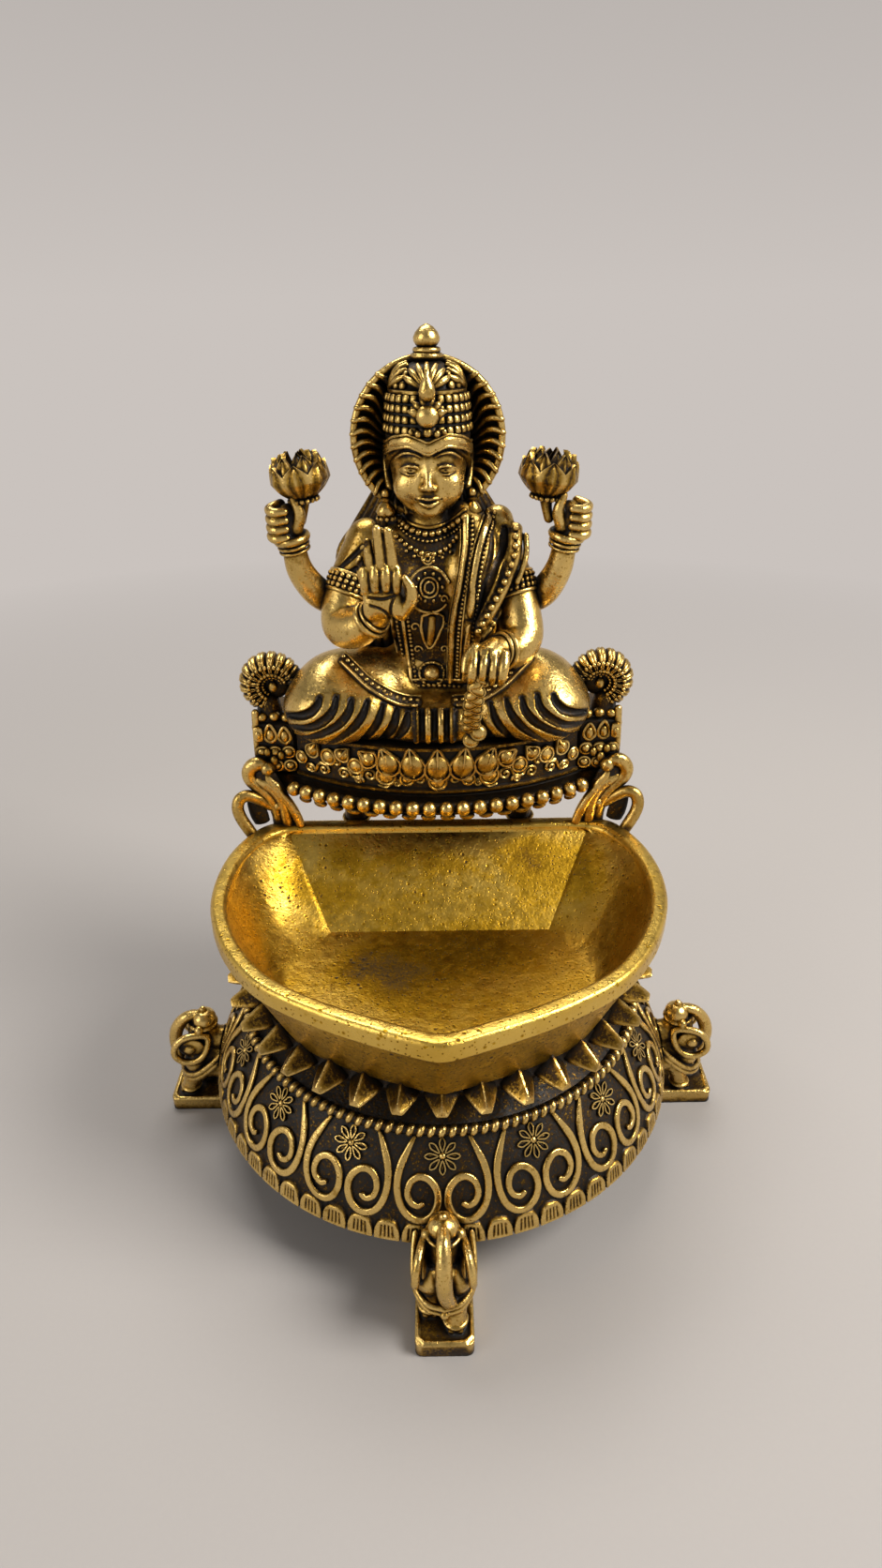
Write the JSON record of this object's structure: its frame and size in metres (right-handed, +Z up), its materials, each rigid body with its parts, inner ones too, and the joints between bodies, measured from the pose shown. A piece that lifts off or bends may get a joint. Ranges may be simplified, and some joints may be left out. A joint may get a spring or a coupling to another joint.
{
  "type": "figural oil lamp",
  "caption": "Cast brass oil lamp: a leaf-shaped bowl on a domed drum with elephant feet, and a throne on its back rim that carries a seated four-armed figure.",
  "frame": {"origin": "on the table, in the middle between the four elephant feet", "axes": "+Z up, -Y towards the front tip of the bowl, +X to the right as seen from the front"},
  "size_m": [0.1448, 0.1448, 0.1875],
  "materials": {
    "cast_brass": "antique brass, polished on the raised parts with a dark brown patina in the recesses",
    "bowl_brass": "satin yellow brass with dark pits and smoky patches",
    "plain_brass": "turned brass, lightly tarnished"
  },
  "bodies": {
    "root": {"base_drum": "cast_brass", "rope_ring": "cast_brass", "petal_collar": "cast_brass", "lamp_bowl": "bowl_brass", "center_stud": "plain_brass", "stud_washer": "plain_brass", "stud_nut": "plain_brass", "elephant_foot_front": "cast_brass", "elephant_foot_right": "cast_brass", "elephant_foot_rear": "cast_brass", "elephant_foot_left": "cast_brass", "foot_screw_front": "plain_brass", "foot_screw_right": "plain_brass", "foot_screw_rear": "plain_brass", "foot_screw_left": "plain_brass", "throne_seat": "cast_brass", "seat_frieze": "cast_brass", "seat_bead_rail": "cast_brass", "throne_post": "cast_brass", "throne_arm_left": "cast_brass", "throne_arm_right": "cast_brass", "arm_volute_left": "cast_brass", "arm_volute_right": "cast_brass", "scroll_bracket_left": "cast_brass", "scroll_bracket_right": "cast_brass", "figure_screw_left": "plain_brass", "figure_screw_right": "plain_brass", "figure_lap": "cast_brass", "figure_torso": "cast_brass", "figure_head": "cast_brass", "crown": "cast_brass", "halo": "cast_brass", "arm_blessing": "cast_brass", "arm_giving": "cast_brass", "rear_arm_left": "cast_brass", "rear_arm_right": "cast_brass", "lotus_left": "cast_brass", "lotus_right": "cast_brass", "coin_stream": "cast_brass"}
  },
  "joints": []
}
